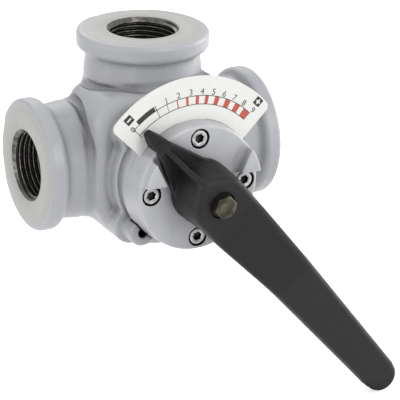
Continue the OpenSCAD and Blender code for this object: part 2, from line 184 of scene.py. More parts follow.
@dataclass(frozen=True)
class Turning:
    """A closed solid made of rings of points around an axis.

    Attributes:
        radius: Radius as a function of ring number and angle.
        height: Height along the axis as a function of ring number and angle.
        rings: Number of rings.
        sides: Points on each ring.
        looped: True if the last ring joins the first, as in a washer; else both ends are closed.
    """

    radius: Callable[[Array, Array], Array]
    height: Callable[[Array, Array], Array]
    rings: int
    sides: int = 96
    looped: bool = False

    def surface(self) -> tuple[Array, list[tuple[int, ...]]]:
        """Builds the rings.

        Returns:
            Points with the axis along z, and faces.
        """
        ring, turn = np.meshgrid(np.arange(self.rings), np.arange(self.sides) * math.tau / self.sides,
                                 indexing="ij")
        r, h = self.radius(ring, turn), self.height(ring, turn)
        points = np.stack([r * np.cos(turn), r * np.sin(turn), h], axis=-1).reshape(-1, 3)
        faces: list[tuple[int, ...]] = []
        for i in range(self.rings if self.looped else self.rings - 1):
            here, ahead = i * self.sides, (i + 1) % self.rings * self.sides
            for j in range(self.sides):
                k = (j + 1) % self.sides
                faces.append((here + j, here + k, ahead + k, ahead + j))
        if not self.looped:
            faces.append(tuple(range(self.sides - 1, -1, -1)))
            last = (self.rings - 1) * self.sides
            faces.append(tuple(range(last, last + self.sides)))
        volume = sum(float(np.dot(points[f[0]], np.cross(points[f[i]], points[f[i + 1]])))
                     for f in faces for i in range(1, len(f) - 1))
        return points, faces if volume > 0.0 else [f[::-1] for f in faces]


def hexagon(flats: float, turn: Array, start: float = 0.0) -> Array:
    """Radius of a hexagon's outline, from its width across flats and the angle of one flat."""
    sixth = math.tau / 6.0
    return flats / 2.0 / np.cos((turn - start + sixth / 2.0) % sixth - sixth / 2.0)


def lathe(rows: Sequence[tuple[float, float]], shape: Callable[[Array, Array, Array], Array]) -> Turning:
    """Sets up a turned solid from its rows.

    Args:
        rows: Radius and height of each ring.
        shape: Gives the true radius from the round one, the ring's number and the angle.

    Returns:
        The solid.
    """
    radii, heights = np.array(rows).T
    return Turning(lambda ring, turn: shape(radii[ring], ring, turn), lambda ring, turn: heights[ring],
                   len(rows))


# ---------------------------------------------------------------- placing


class Place:
    """Turns a shop drawing frame (plan u, plan v, height) into the valve's frame."""

    def __init__(self, u: float = 0.0, v: float = 0.0, angle: float = 0.0) -> None:
        """Sets the place.

        Args:
            u: Plan position along +X.
            v: Plan position along +Z.
            angle: Turn in degrees from +X towards +Z.
        """
        turn = Matrix.Rotation(math.radians(90.0), 4, "X") @ Matrix.Translation((u, v, 0.0))
        self.matrix = turn @ Matrix.Rotation(math.radians(angle), 4, "Z")

    def points(self, p: Array) -> Array:
        """Moves points from the drawing frame, in mm, to the valve's frame, in mm."""
        m = np.array(self.matrix)
        return p @ m[:3, :3].T + m[:3, 3]


def along(direction: Triple, reach: float) -> Array:
    """Rotation and shift for a shape whose z axis points back from a port's face.

    Args:
        direction: Unit vector out of the port.
        reach: Distance of the face from the port axes' crossing.

    Returns:
        A 4x4 matrix.
    """
    back = -Vector(direction)
    turn = back.to_track_quat("Z", "Y").to_matrix().to_4x4()
    return np.array(Matrix.Translation(Vector(direction) * reach) @ turn)


def new_object(name: str, data: bpy.types.ID) -> bpy.types.Object:
    """Makes an object and puts it in the scene."""
    made = bpy.data.objects.new(name, data)
    bpy.context.scene.collection.objects.link(made)
    return made


class PieceMesh:
    """Gathers surfaces into one mesh object."""

    def __init__(self, name: str) -> None:
        """Starts an empty piece."""
        self.name = name
        self.points: list[Array] = []
        self.faces: list[tuple[int, ...]] = []
        self.slots: list[int] = []
        self.normals: list[Array | None] = []
        self.smooth: list[bool] = []

    def add(self, points: Array, faces: Sequence, slot: int | Sequence[int] = 0,
            normals: Array | None = None, smooth: bool = True) -> None:
        """Adds one surface.

        Args:
            points: Points in mm in the valve's frame.
            faces: Faces as indices into the points.
            slot: Material slot, one for all or one for each face.
            normals: Unit normals to keep, or None to leave them to the shading.
            smooth: True for smooth shading.
        """
        base = sum(len(p) for p in self.points)
        self.points.append(np.asarray(points, dtype=float))
        self.faces += [tuple(int(i) + base for i in face) for face in faces]
        self.slots += [slot] * len(faces) if isinstance(slot, int) else list(slot)
        self.smooth += [smooth] * len(faces)
        self.normals.append(normals)

    def build(self, crease: float) -> bpy.types.Object:
        """Makes the object.

        Args:
            crease: Edges sharper than this angle in degrees stay sharp where no normals are kept.

        Returns:
            The new mesh object, in metres.
        """
        mesh = bpy.data.meshes.new(self.name)
        points = np.concatenate(self.points) * MM
        mesh.from_pydata(points.tolist(), [], self.faces)
        mesh.polygons.foreach_set("use_smooth", self.smooth)
        mesh.polygons.foreach_set("material_index", self.slots)
        mesh.update()
        if any(n is not None for n in self.normals):
            rows = [np.zeros((len(p), 3)) if n is None else n for p, n in zip(self.points, self.normals)]
            mesh.normals_split_custom_set_from_vertices(np.concatenate(rows).tolist())
        else:
            mesh.set_sharp_from_angle(angle=math.radians(crease))
        return new_object(self.name, mesh)


# ---------------------------------------------------------------- finishes


def srgb(red: float, green: float, blue: float) -> tuple[float, float, float, float]:
    """Turns display values from 0 to 255 into a linear colour.

    Args:
        red: Red value.
        green: Green value.
        blue: Blue value.

    Returns:
        Linear red, green, blue and alpha.
    """
    linear = [((c / 255.0 + 0.055) / 1.055) ** 2.4 for c in (red, green, blue)]
    return (linear[0], linear[1], linear[2], 1.0)


class Wiring:
    """Adds and links the nodes of one tree."""

    def __init__(self, tree: bpy.types.NodeTree) -> None:
        """Takes the tree and empties it."""
        self.tree = tree
        tree.nodes.clear()

    def add(self, kind: str, inputs: dict | None = None, **settings: object) -> bpy.types.Node:
        """Adds one node.

        Args:
            kind: The node's type name.
            inputs: Values or output sockets by the input's name or number.
            settings: Properties to set on the node.

        Returns:
            The node.
        """
        node = self.tree.nodes.new(kind)
        for name, value in settings.items():
            setattr(node, name, value)
        for name, value in (inputs or {}).items():
            if isinstance(value, bpy.types.NodeSocket):
                self.tree.links.new(value, node.inputs[name])
            else:
                node.inputs[name].default_value = value
        return node

    def math(self, operation: str, a: object, b: object = 0.0, clamp: bool = False) -> bpy.types.NodeSocket:
        """Adds a Math node and returns its output."""
        return self.add("ShaderNodeMath", {0: a, 1: b}, operation=operation, use_clamp=clamp).outputs[0]

    def spread(self, value: object, low: float, high: float, to_low: float = 0.0,
               to_high: float = 1.0) -> bpy.types.NodeSocket:
        """Adds a Map Range node and returns its output."""
        return self.add("ShaderNodeMapRange", {"Value": value, "From Min": low, "From Max": high,
                                               "To Min": to_low, "To Max": to_high}).outputs[0]

    def mix(self, factor: object, a: object, b: object) -> bpy.types.NodeSocket:
        """Adds a colour Mix node and returns its output."""
        return self.add("ShaderNodeMix", {0: factor, 6: a, 7: b}, data_type="RGBA").outputs[2]

    def times(self, a: object, b: object) -> bpy.types.NodeSocket:
        """Adds a Math node that multiplies and returns its output."""
        return self.math("MULTIPLY", a, b)

    def noise(self, place: object, scale: object, detail: float,
              roughness: float = 0.5) -> bpy.types.NodeSocket:
        """Adds a Noise Texture node and returns its value."""
        return self.add("ShaderNodeTexNoise", {"Vector": place, "Scale": scale, "Detail": detail,
                                               "Roughness": roughness}).outputs[0]


class Effect(Enum):
    """Effects that several finishes share, each one a node group."""

    GRAIN = "Surface grain"
    # Worn edges, and painted shade that darkens creases and hollows
    EDGES = "Worn edges and painted shade"
    STREAKS = "Turned streaks"


def start_group(kind: Effect, inputs: dict[str, float | None], outputs: Sequence[str]) -> tuple[Wiring, dict]:
    """Starts an effect's node group.

    Args:
        kind: The effect.
        inputs: Default of each input, or None for a vector.
        outputs: Names of the outputs, all floats.

    Returns:
        The group's wiring, and its input values by name.
    """
    tree = bpy.data.node_groups.new(kind.value, "ShaderNodeTree")
    for name, value in inputs.items():
        kind_of = "NodeSocketVector" if value is None else "NodeSocketFloat"
        made = tree.interface.new_socket(name=name, in_out="INPUT", socket_type=kind_of)
        if value is not None:
            made.default_value = value
    for name in outputs:
        tree.interface.new_socket(name=name, in_out="OUTPUT", socket_type="NodeSocketFloat")
    wiring = Wiring(tree)
    return wiring, wiring.add("NodeGroupInput").outputs


def grain_group() -> bpy.types.NodeTree:
    """Builds coarse and fine relief with small pits, in metres of object space.

    Returns:
        A group with inputs Vector, Scale and Pits, and outputs Height and Patches.
    """
    w, given = start_group(Effect.GRAIN, {"Vector": None, "Scale": 400.0, "Pits": 0.3}, ("Height", "Patches"))
    place, scale = given["Vector"], given["Scale"]
    coarse = w.noise(place, scale, 3.0, 0.55)
    fine = w.noise(place, w.times(scale, 4.3), 2.0)
    cells = w.add("ShaderNodeTexVoronoi", {"Vector": place, "Scale": w.times(scale, 1.7)}).outputs[0]
    pits = w.times(w.spread(cells, 0.0, 0.28, 1.0, 0.0), given["Pits"])
    relief = w.math("ADD", w.times(coarse, 0.7), w.times(fine, 0.3))
    broad = w.noise(place, w.times(scale, 0.13), 2.0)
    w.add("NodeGroupOutput", {"Height": w.math("SUBTRACT", relief, pits), "Patches": broad})
    return w.tree


def edges_and_shade_group() -> bpy.types.NodeTree:
    """Builds masks of worn edges and of painted shade, which darkens creases and occluded hollows.

    Returns:
        A group with inputs Reach and Break, and outputs Edge and the painted shade mask.
    """
    w, given = start_group(Effect.EDGES, {"Reach": 0.06, "Break": 0.5}, ("Edge", "Hollow"))
    bend = w.math("SUBTRACT", w.add("ShaderNodeNewGeometry").outputs["Pointiness"], 0.5)
    edge = w.math("DIVIDE", bend, given["Reach"], clamp=True)
    crease = w.math("DIVIDE", w.times(bend, -1.0), given["Reach"], clamp=True)
    # Painted shade: ambient occlusion and concave creases darken the colour where light is shut out
    near = w.add("ShaderNodeAmbientOcclusion", {"Distance": PAINTED_SHADE_REACH}, samples=8).outputs["AO"]
    hollow = w.math("ADD", crease, w.spread(near, 0.85, 0.3), clamp=True)
    patches = w.noise(w.add("ShaderNodeTexCoord").outputs["Object"], 260.0, 3.0)
    broken = w.times(edge, w.spread(patches, 0.35, 0.65))
    broken = w.times(broken, given["Break"])
    kept = w.math("ADD", broken, w.times(edge, w.math("SUBTRACT", 1.0, given["Break"])))
    w.add("NodeGroupOutput", {"Edge": kept, "Hollow": hollow})
    return w.tree


def streaks_group() -> bpy.types.NodeTree:
    """Builds the fine marks a cutting tool leaves, stretched along one direction.

    Returns:
        A group with inputs Vector, Scale and Stretch, and outputs Height and Tone.
    """
    inputs = {"Vector": None, "Scale": 3000.0, "Stretch": 0.1}
    w, given = start_group(Effect.STREAKS, inputs, ("Height", "Tone"))
    parts = w.add("ShaderNodeSeparateXYZ", {0: given["Vector"]}).outputs
    pulled = w.times(parts[1], given["Stretch"])
    place = w.add("ShaderNodeCombineXYZ", {0: parts[0], 1: pulled, 2: parts[2]}).outputs[0]
    marks = w.noise(place, given["Scale"], 2.0)
    tone = w.noise(place, w.times(given["Scale"], 0.12), 3.0)
    w.add("NodeGroupOutput", {"Height": marks, "Tone": tone})
    return w.tree


BUILDERS: dict[Effect, Callable[[], bpy.types.NodeTree]] = {
    Effect.GRAIN: grain_group, Effect.EDGES: edges_and_shade_group, Effect.STREAKS: streaks_group,
}


def effect(kind: Effect) -> bpy.types.NodeTree:
    """Gives an effect's node group and builds it the first time."""
    return bpy.data.node_groups.get(kind.value) or BUILDERS[kind]()


class Shop:
    """Starts materials and closes them with a Principled shader."""

    def __init__(self, name: str) -> None:
        """Starts a material."""
        self.material = bpy.data.materials.new(name)
        self.material.use_nodes = True
        self.wiring = Wiring(self.material.node_tree)
        self.place = self.wiring.add("ShaderNodeTexCoord").outputs["Object"]

    def group(self, kind: Effect, inputs: dict) -> bpy.types.Node:
        """Places an effect's group with its own values or sockets by name."""
        return self.wiring.add("ShaderNodeGroup", inputs, node_tree=effect(kind))

    def close(self, colour: object, roughness: object, height: object, relief: float,
              **fixed: float) -> bpy.types.Material:
        """Adds the shader and the output.

        Args:
            colour: Base colour or its socket.
            roughness: Roughness or its socket.
            height: Relief from 0 to 1.
            relief: Depth of the relief in millimetres.
            fixed: Other shader inputs that are the same all over, with _ for a space.

        Returns:
            The finished material.
        """
        bump = self.wiring.add("ShaderNodeBump", {"Height": height, "Strength": 1.0, "Distance": relief * MM})
        inputs = {"Base Color": colour, "Roughness": roughness, "Normal": bump.outputs[0]}
        inputs |= {name.replace("_", " "): value for name, value in fixed.items()}
        shader = self.wiring.add("ShaderNodeBsdfPrincipled", inputs)
        self.wiring.add("ShaderNodeOutputMaterial", {"Surface": shader.outputs[0]})
        return self.material


@dataclass(frozen=True)
class Paint:
    """Sprayed enamel over cast or machined metal.

    Attributes:
        name: The material's name.
        colour: Display values of the coat.
        roughness: Roughness of the coat.
        scale: Grain scale in cycles to a metre.
        relief: Depth of the grain in mm.
        pits: How much small pits show.
        shade: How strongly the painted shade darkens hollows and creases.
        gloss: Specular level.
        mottle: How much its tone wanders.
        wear: How much lighter its edges are.
    """

    name: str
    colour: Triple
    roughness: float = 0.42
    scale: float = 420.0
    relief: float = 0.12
    pits: float = 0.25
    shade: float = 0.35
    gloss: float = 0.5
    mottle: float = 0.04
    wear: float = 0.6

    def material(self) -> bpy.types.Material:
        """Builds the material."""
        shop = Shop(self.name)
        w = shop.wiring
        grain = shop.group(Effect.GRAIN, {"Vector": shop.place, "Scale": self.scale, "Pits": self.pits})
        edges = shop.group(Effect.EDGES, {"Reach": 0.07, "Break": 0.5})
        base = srgb(*self.colour)
        darker = srgb(*(c * (1.0 - self.mottle) for c in self.colour))
        lighter = srgb(*(min(255.0, c * 1.06) for c in self.colour))
        # deep is the painted shade colour that hollows and creases are darkened towards
        deep = srgb(*(c * 0.55 for c in self.colour))
        body = w.mix(w.spread(grain.outputs["Patches"], 0.35, 0.65), darker, base)
        body = w.mix(w.times(edges.outputs["Edge"], self.wear), body, lighter)
        body = w.mix(w.times(edges.outputs["Hollow"], self.shade), body, deep)
        rough = w.spread(grain.outputs["Patches"], 0.3, 0.7, self.roughness - 0.05, self.roughness + 0.06)
        return shop.close(body, rough, grain.outputs["Height"], self.relief, Specular_IOR_Level=self.gloss)


@dataclass(frozen=True)
class Metal:
    """Turned, plated or drawn metal.

    Attributes:
        name: The material's name.
        colour: Display values of the bright metal.
        dull: Display values of its stained patches.
        roughness: Roughness.
        scale: Scale of the tool marks in cycles to a metre.
        relief: Depth of the marks in mm.
        stretch: How far the marks are drawn out, below 1.
        metallic: Metallic value.
    """

    name: str
    colour: Triple
    dull: Triple
    roughness: float = 0.3
    scale: float = 3500.0
    relief: float = 0.015
    stretch: float = 0.15
    metallic: float = 1.0

    def material(self) -> bpy.types.Material:
        """Builds the material."""
        shop = Shop(self.name)
        w = shop.wiring
        tooling = {"Vector": shop.place, "Scale": self.scale, "Stretch": self.stretch}
        marks = shop.group(Effect.STREAKS, tooling)
        edges = shop.group(Effect.EDGES, {"Reach": 0.08, "Break": 0.3})
        body = w.mix(w.spread(marks.outputs["Tone"], 0.38, 0.62), srgb(*self.dull), srgb(*self.colour))
        # Painted shade: hollows and creases darken towards half the stained colour
        body = w.mix(w.times(edges.outputs["Hollow"], 0.5), body, srgb(*(c * 0.5 for c in self.dull)))
        rough = w.spread(marks.outputs["Tone"], 0.3, 0.7, self.roughness + 0.1, self.roughness - 0.06)
        return shop.close(body, rough, marks.outputs["Height"], self.relief, Metallic=self.metallic)


@dataclass(frozen=True)
class Plastic:
    """Moulded plastic or rubber with an eroded mould grain.

    Attributes:
        name: The material's name.
        colour: Display values.
        rubbed: Display values of rubbed edges.
        roughness: Roughness.
        scale: Grain scale in cycles to a metre.
        relief: Depth of the grain in mm.
        gloss: Specular level.
    """

    name: str
    colour: Triple
    rubbed: Triple
    roughness: float = 0.45
    scale: float = 1500.0
    relief: float = 0.03
    gloss: float = 0.45

    def material(self) -> bpy.types.Material:
        """Builds the material."""
        shop = Shop(self.name)
        w = shop.wiring
        grain = shop.group(Effect.GRAIN, {"Vector": shop.place, "Scale": self.scale, "Pits": 0.1})
        edges = shop.group(Effect.EDGES, {"Reach": 0.06, "Break": 0.7})
        body = w.mix(w.spread(grain.outputs["Patches"], 0.3, 0.7), srgb(*self.colour),
                     srgb(*(c * 1.12 for c in self.colour)))
        body = w.mix(w.times(edges.outputs["Edge"], 0.5), body, srgb(*self.rubbed))
        # Painted shade: hollows and creases darken towards 0.4 of the colour, and they also turn rougher
        body = w.mix(edges.outputs["Hollow"], body, srgb(*(c * 0.4 for c in self.colour)))
        rough = w.spread(grain.outputs["Patches"], 0.3, 0.7, self.roughness - 0.05, self.roughness + 0.05)
        rough = w.math("ADD", rough, w.times(edges.outputs["Hollow"], 0.35), clamp=True)
        return shop.close(body, rough, grain.outputs["Height"], self.relief, Specular_IOR_Level=self.gloss)


class Finish(Enum):
    """Every finish on the valve."""

    # Each paint's shade sets how strongly painted shade darkens its hollows and creases
    CAST_PAINT = Paint("Cast body paint", (178, 179, 183), roughness=0.34, relief=0.2, shade=0.85)
    FACE_PAINT = Paint("Machined port face paint", (174, 175, 171), scale=900.0, relief=0.03, pits=0.1)
    COVER_PAINT = Paint("Cover paint", (192, 193, 197), roughness=0.34, scale=800.0, relief=0.035, pits=0.1,
                        shade=0.5)
    PLATE_PAINT = Paint("Scale plate enamel", (235, 236, 232), roughness=0.55, scale=2500.0, relief=0.006,
                        pits=0.0, shade=0.1, mottle=0.006, wear=0.0)
    BLACK_INK = Paint("Black scale ink", (30, 31, 30), roughness=0.4, scale=3000.0, relief=0.004, pits=0.0)
    RED_INK = Paint("Red scale ink", (192, 78, 60), roughness=0.4, scale=3000.0, relief=0.004, pits=0.0)
    DIGIT_INK = Paint("Grey digit ink", (48, 49, 48), roughness=0.4, scale=3000.0, relief=0.004, pits=0.0)
    # Dark metal put as painted shade into the boss hole, the counterbores and the screw sockets, and on the
    # lever washers
    BORE_SHADE = Metal("Dark bore metal as painted shade", (64, 63, 62), (34, 33, 33), roughness=0.5, metallic=0.6)
    THREAD = Metal("Cut pipe thread", (108, 106, 103), (76, 74, 72), roughness=0.28, metallic=1.0)
    SCREW = Metal("Zinc plated screw", (196, 197, 197), (166, 167, 167), roughness=0.42, metallic=0.75)
    BOLT = Metal("Dull lever bolt", (92, 90, 79), (60, 58, 50), roughness=0.46, scale=1800.0,
                 relief=0.04, stretch=0.6)
    STEEL = Metal("Turned spindle steel", (196, 196, 194), (160, 160, 158), roughness=0.24)
    BRASS = Metal("Segment brass", (214, 178, 104), (176, 138, 74), roughness=0.32, scale=2200.0)
    BRONZE = Metal("Bush bronze", (182, 134, 88), (148, 104, 66), roughness=0.36, scale=2600.0)
    LEVER = Plastic("Black lever plastic", (20, 20, 21), (56, 56, 54), roughness=0.5, gloss=0.28)
    RUBBER = Plastic("Seal rubber", (26, 26, 27), (44, 44, 44), roughness=0.6, scale=2600.0, relief=0.012)

    def material(self) -> bpy.types.Material:
        """Gives the finish's material and builds it the first time."""
        return bpy.data.materials.get(self.value.name) or self.value.material()


# ---------------------------------------------------------------- sub-assemblies


@dataclass
class SubAssembly:
    """A group of pieces that ride on one body of the frame.

    Attributes:
        body: The body's name.
    """

    body: str = "housing"

    def dress(self, piece: bpy.types.Object, *finishes: Finish) -> None:
        """Gives a piece its materials, in slot order."""
        for place, finish in enumerate(finishes):
            if place < len(piece.data.materials):
                piece.data.materials[place] = finish.material()
            else:
                piece.data.materials.append(finish.material())

    def complete(self, piece: PieceMesh, finishes: Sequence[Finish], slot: str, *nodes: str,
                 crease: float = 35.0) -> None:
        """Builds a piece, dresses it, fixes it to its body and lets it stand for CAD nodes.

        Args:
            piece: The piece.
            finishes: Its materials, in slot order.
            slot: Name of a material slot; not used.
            nodes: The CAD nodes that it stands for.
            crease: Edges sharper than this angle in degrees stay sharp where no normals are kept.
        """
        made = piece.build(crease)
        self.dress(made, *finishes)
        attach(made, self.body)
        if nodes:
            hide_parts(*nodes)
        log.info("%s: %d faces on %s", made.name, len(made.data.polygons), self.body)


@dataclass
class Body(SubAssembly):
    """The cast body with its three threaded ports."""

    side_reach: float = 60.5
    top_reach: float = 60.0
    neck_r: float = 27.4
    neck_swell: float = 1.3
    swell_start: float = 12.5
    swell_run: float = 12.0
    swell_limit: float = 1.7
    flat_angle: float = 48.5
    flat_cut: float = 0.85
    bead_r: float = 31.6
    bead_start: float = 8.9
    bead_round: float = 3.0
    bead_fillet: float = 2.6
    face_round: float = 2.2
    face_r: float = 28.6
    face_step: float = 0.06
    minor_r: float = 15.15
    thread_depth: float = 1.45
    pitch: float = 2.309
    thread_end: float = 20.5
    chamfer: float = 2.1
    passage_r: float = 13.0
    seat_r: float = 17.0
    chamber_r: float = 20.0
    chamber_half: float = 21.0
    core_r: float = 32.0
    barrel_r: float = 40.5
    barrel_back: float = -30.0
    barrel_front: float = 31.0
    back_round: float = 24.0
    back_extra: float = 1.1
    back_edge: float = 6.0
    shoulder_round: float = 7.0
    neck_fillet: float = 2.2
    valley_place: float = 40.3
    valley_bow: float = 3.4
    valley_r: float = 2.0
    valley_fade: float = 14.0
    valley_edge: float = 1.2
    web_place: float = 21.9
    web_r: float = 16.6
    web_back: float = -11.5
    web_round: float = 10.0
    web_fillet: float = 4.0
    flange_r: float = 31.9
    flange_depth: float = 38.0
    flange_edge: float = 1.3
    corner_start: float = 4.0
    corner_fillet: float = 2.5
    core_fillet: float = 2.2
    corner_place: float = 31.0
    corner_r: float = 7.8
    pad_r: float = 29.8
    pad_start: float = 30.0
    joint_depth: float = 43.5
    boss_place: float = 32.2
    boss_r: float = 6.5
    boss_front: float = 48.5
    boss_start: float = 10.0
    boss_edge: float = 0.9
    boss_fillet: float = 1.6
    boss_hole_r: float = 2.3
    boss_hole_depth: float = 12.0
    boss_gap: float = 0.35
    lug_r: float = 9.4
    lug_edge: float = 1.6
    lug_fillet: float = 2.0
    cover_r: float = 31.4
    screw_circle_r: float = 24.1
    tapped_r: float = 2.55
    tapped_end: float = 32.0
    core_front: float = 17.0
    bush_r: float = 7.4
    bush_end: float = -28.0
    taper_end: float = 22.5
    taper_start: float = 20.7
    thread_steps: int = 12
    flank_slope: float = 1.35

    def neck(self, axial: Array, side: Array, depth: Array, reach: float) -> Array:
        """Distance to one neck with its bead and the flat on its shoulder.

        Args:
            axial: Distance along the port's axis.
            side: Distance from the port's axis towards the neighbouring port.
            depth: Distance from the port's axis towards the lever.
            reach: Distance of the face from the crossing.

        Returns:
            Distance to the neck.
        """
        radial = np.hypot(side, depth)
        inward = (reach - self.swell_start - axial) / self.swell_run
        swell = self.neck_swell * np.clip(inward, 0.0, self.swell_limit)
        lean = math.radians(self.flat_angle)
        flat = depth * math.cos(lean) + side * math.sin(lean) - (self.neck_r - self.flat_cut)
        tube = np.maximum(radial - self.neck_r, flat) - swell
        end = axial - (reach - self.face_step)
        bead = blend_meet(radial - self.bead_r, (reach - self.bead_start) - axial, self.bead_round)
        joined = blend_union(tube, bead, self.bead_fillet)
        return blend_meet(joined, end, self.face_round)

    def barrel(self, x: Array, z: Array, depth: Array) -> Array:
        """Distance to the barrel with its fuller corners, and to the flange in front of it.

        Args:
            x, z, depth: Place to the right, upwards and towards the lever.

        Returns:
            Distance to both, joined.
        """
        across = np.hypot(x, z)
        barrel = blend_meet(across - self.barrel_r, self.barrel_back - depth, self.back_round)
        web = np.hypot(np.abs(x) - self.web_place, z - self.web_place) - self.web_r
        web = blend_meet(web, self.web_back - depth, self.web_round)
        barrel = blend_union(barrel, web, self.web_fillet)
        barrel = blend_meet(barrel, depth - self.barrel_front, self.shoulder_round)
        flange = blend_meet(across - self.flange_r, depth - self.flange_depth + 0.05, self.flange_edge)
        spot = self.corner_place / math.sqrt(2.0)
        corner = np.hypot(np.abs(x) - spot, np.abs(z) - spot) - self.corner_r
        corner = blend_meet(corner, depth - self.flange_depth, self.flange_edge)
        corner = np.maximum(corner, self.corner_start - depth)
        flange = blend_union(np.maximum(flange, -depth), corner, self.corner_fillet)
        return blend_union(barrel, flange, self.core_fillet)

    def valleys(self, body: Array, x: Array, z: Array, depth: Array) -> Array:
        """Sinks the valleys between the necks and the barrel.

        Args:
            body: Distance to the body without them.
            x, z, depth: Place to the right, upwards and towards the lever.

        Returns:
            Distance to the body with them.
        """
        for axial, side, radial in ((np.abs(x), z, np.hypot(z, depth)), (z, np.abs(x), np.hypot(x, depth))):
            place = self.valley_place - self.valley_bow * (side / self.neck_r) ** 2
            fade = np.clip(-side / self.valley_fade, 0.0, 1.0) + np.clip(-depth / self.valley_fade, 0.0, 1.0)
            away = radial - self.neck_r - self.valley_r - 0.1 - fade
            body = blend_cut(body, np.hypot(axial - place, away) - self.valley_r, self.valley_edge)
        return body

    def with_boss(self, body: Array, x: Array, z: Array, depth: Array) -> Array:
        """Adds the boss on its lug at the lower left and drills its blind hole.

        Args:
            body: Distance to the body without them.
            x, z, depth: Place to the right, upwards and towards the lever.

        Returns:
            Distance to the body with them.
        """
        spot = self.boss_place / math.sqrt(2.0)
        away = np.hypot(x + spot, z + spot)
        lug = blend_meet(away - self.lug_r, depth - self.flange_depth, self.lug_edge)
        body = blend_union(body, np.maximum(lug, self.corner_start - depth), self.lug_fillet)
        boss = blend_meet(away - self.boss_r, depth - self.boss_front, self.boss_edge)
        beside = self.cover_r + self.boss_gap - np.hypot(x, z)
        boss = np.where(depth > self.joint_depth - 1.0, blend_meet(boss, beside, 0.4), boss)
        body = blend_union(body, np.maximum(boss, self.boss_start - depth), self.boss_fillet)
        hole = np.maximum(away - self.boss_hole_r, self.boss_front - self.boss_hole_depth - depth)
        return blend_cut(body, hole, 0.4)

    def outside(self, x: Array, y: Array, z: Array) -> Array:
        """Distance to the body's outside.

        Args:
            x, y, z: Place in the valve's axes.

        Returns:
            Distance, negative inside.
        """
        depth = -y
        sides = self.neck(np.abs(x), z, depth, self.side_reach)
        top = np.maximum(self.neck(z, np.abs(x), depth, self.top_reach), -z)
        necks = blend_union(sides, top, self.neck_fillet)
        body = blend_union(necks, self.barrel(x, z, depth), self.neck_fillet)
        body = blend_meet(body, self.barrel_back - self.back_extra - depth, self.back_edge)
        body = self.valleys(body, x, z, depth)
        pad = blend_meet(np.hypot(x, z) - self.pad_r, depth - self.joint_depth, 0.4)
        body = blend_union(body, np.maximum(pad, self.pad_start - depth), 1.0)
        return self.with_boss(body, x, z, depth)

    def bore(self, axial: Array, radial: Array, reach: float) -> Array:
        """Distance to one port's water way, with room for the thread's sleeve."""
        outer = self.minor_r + self.chamfer + 0.1
        wide = np.interp(axial, [reach - self.taper_end, reach - self.taper_start], [self.passage_r, outer])
        return np.maximum(radial - wide, -axial)

    def distance(self, x: Array, y: Array, z: Array) -> Array:
        """Distance to the hollow body.

        Args:
            x, y, z: Place in the valve's axes.

        Returns:
            Distance, negative inside.
        """
        depth, across = -y, np.hypot(x, z)
        core = np.maximum(across - self.core_r, slab(depth, -self.chamber_half, self.core_front))
        seats = np.minimum(np.hypot(y, z), np.where(z > 0.0, np.hypot(x, y), self.core_r)) - self.seat_r
        chamber = np.maximum(across - self.chamber_r, -self.chamber_half - depth)
        bush = np.maximum(across - self.bush_r, self.bush_end - depth)
        screws = np.maximum(four_axes(x, z, self.screw_circle_r) - self.tapped_r, self.tapped_end - depth)
        sides = self.bore(np.abs(x), np.hypot(y, z), self.side_reach)
        top = self.bore(z, np.hypot(x, y), self.top_reach)
        solid = self.outside(x, y, z)
        return cut(solid, np.maximum(core, -seats), chamber, bush, screws, np.minimum(sides, top))

    def sleeve(self) -> Turning:
        """Port face, mouth chamfer and cut thread, from the face inwards.

        Returns:
            The sleeve, with its height counted from the face.
        """
        step = self.pitch / self.thread_steps
        turns = int(self.thread_end / step)
        behind, outer = self.thread_end + 1.9, self.minor_r + self.chamfer + 0.4
        back = np.array([(self.passage_r, behind), (outer, behind), (outer, 0.5), (self.face_r, 0.5),
                         (self.face_r + 0.25, 0.12), (self.face_r, 0.0)])

        def buried(ring: Array, column: int) -> Array:
            """Radius or height of the sleeve's buried back."""
            return back[np.clip(ring - turns, 0, len(back) - 1), column]

        def radius(ring: Array, turn: Array) -> Array:
            """Radius of the thread, then of the buried back."""
            deep = ring * step
            phase = (deep / self.pitch - turn / math.tau) % 1.0
            flank = np.clip((np.abs(2.0 * phase - 1.0) - 0.5) * self.flank_slope + 0.5, 0.0, 1.0)
            thread = self.minor_r + self.thread_depth * (0.5 - 0.5 * np.cos(math.pi * flank))
            thread = np.maximum(thread, self.minor_r + self.chamfer - deep)
            return np.where(ring < turns, thread, buried(ring, 0))

        def height(ring: Array, turn: Array) -> Array:
            """Depth below the face."""
            return np.where(ring < turns, ring * step, buried(ring, 1))

        return Turning(radius, height, turns + len(back), sides=128, looped=True)

    def build(self) -> None:
        """Meshes the casting and the three sleeves as one piece."""
        piece = PieceMesh("valve_body_casting")
        pitch = 0.75
        casting = Casting((-60.5, -48.5, -43.0), (60.5, 30.5, 60.0), pitch, self.distance)
        points, quads, normals = casting.surface()
        centres = points[quads].mean(axis=1)
        spot = self.boss_place / math.sqrt(2.0)
        # Faces inside the boss's blind hole get the dark bore metal as painted shade
        shaded_bore = np.hypot(centres[:, 0] + spot, centres[:, 2] + spot) < self.boss_hole_r + 0.1
        shaded_bore &= -centres[:, 1] > self.joint_depth - 8.0
        piece.add(points, quads, slot=[3 * int(b) for b in shaded_bore], normals=normals)
        sleeve = self.sleeve()
        points, faces = sleeve.surface()
        threaded = int(self.thread_end / (self.pitch / self.thread_steps)) * sleeve.sides
        slots = [2] * threaded + [1] * (len(faces) - threaded)
        ports = (((1, 0, 0), self.side_reach), ((-1, 0, 0), self.side_reach), ((0, 0, 1), self.top_reach))
        for direction, reach in ports:
            m = along(direction, reach)
            piece.add(points @ m[:3, :3].T + m[:3, 3], faces, slot=slots)
        finishes = (Finish.CAST_PAINT, Finish.FACE_PAINT, Finish.THREAD, Finish.BORE_SHADE)
        self.complete(piece, finishes, "body_paint", "valve_body")


